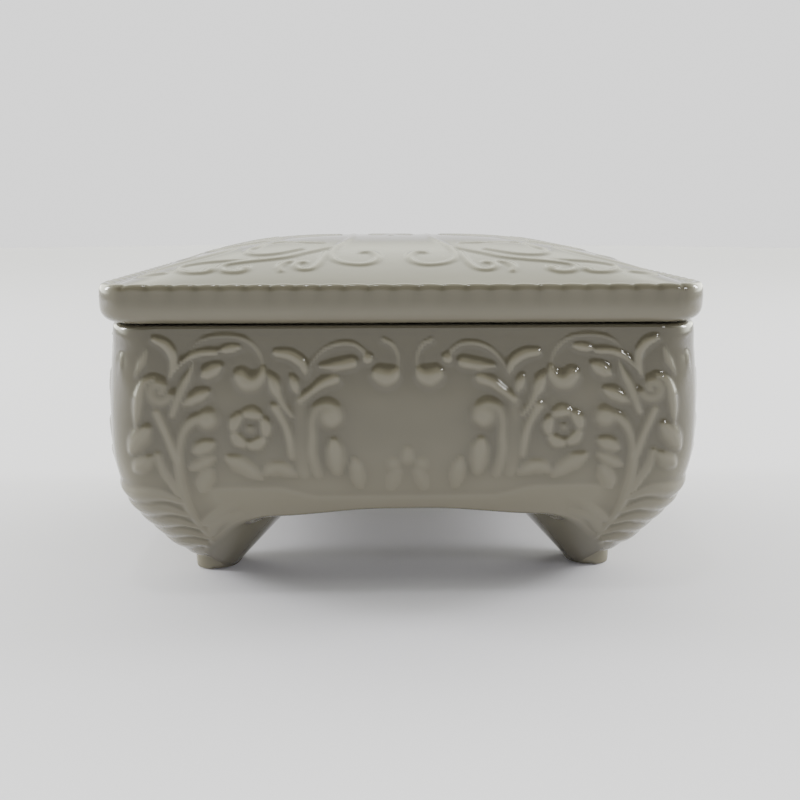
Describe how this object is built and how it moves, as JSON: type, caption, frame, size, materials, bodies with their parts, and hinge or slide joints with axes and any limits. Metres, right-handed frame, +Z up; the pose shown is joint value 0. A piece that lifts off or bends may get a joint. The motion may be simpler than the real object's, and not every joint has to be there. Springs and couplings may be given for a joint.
{
  "type": "trinket box",
  "caption": "Rectangular footed ceramic trinket box with bowed relief walls and a lift-off domed lid with a gadrooned edge.",
  "frame": {"origin": "centre of the box's footprint, on the plane the four feet stand on", "axes": "+X to the right along the long side, +Y to the back, +Z up through the lid"},
  "size_m": [0.1424, 0.1124, 0.0847],
  "materials": {
    "base_glaze": "gloss ivory glaze",
    "lid_glaze": "gloss ivory glaze"
  },
  "bodies": {
    "base": {"base": "base_glaze"},
    "lid": {"lid": "lid_glaze"}
  },
  "joints": [
    {"name": "lid_lift", "type": "slide", "parent": "base", "child": "lid", "axis": [0, 0, 1], "range_m": [0, 0.06]}
  ]
}
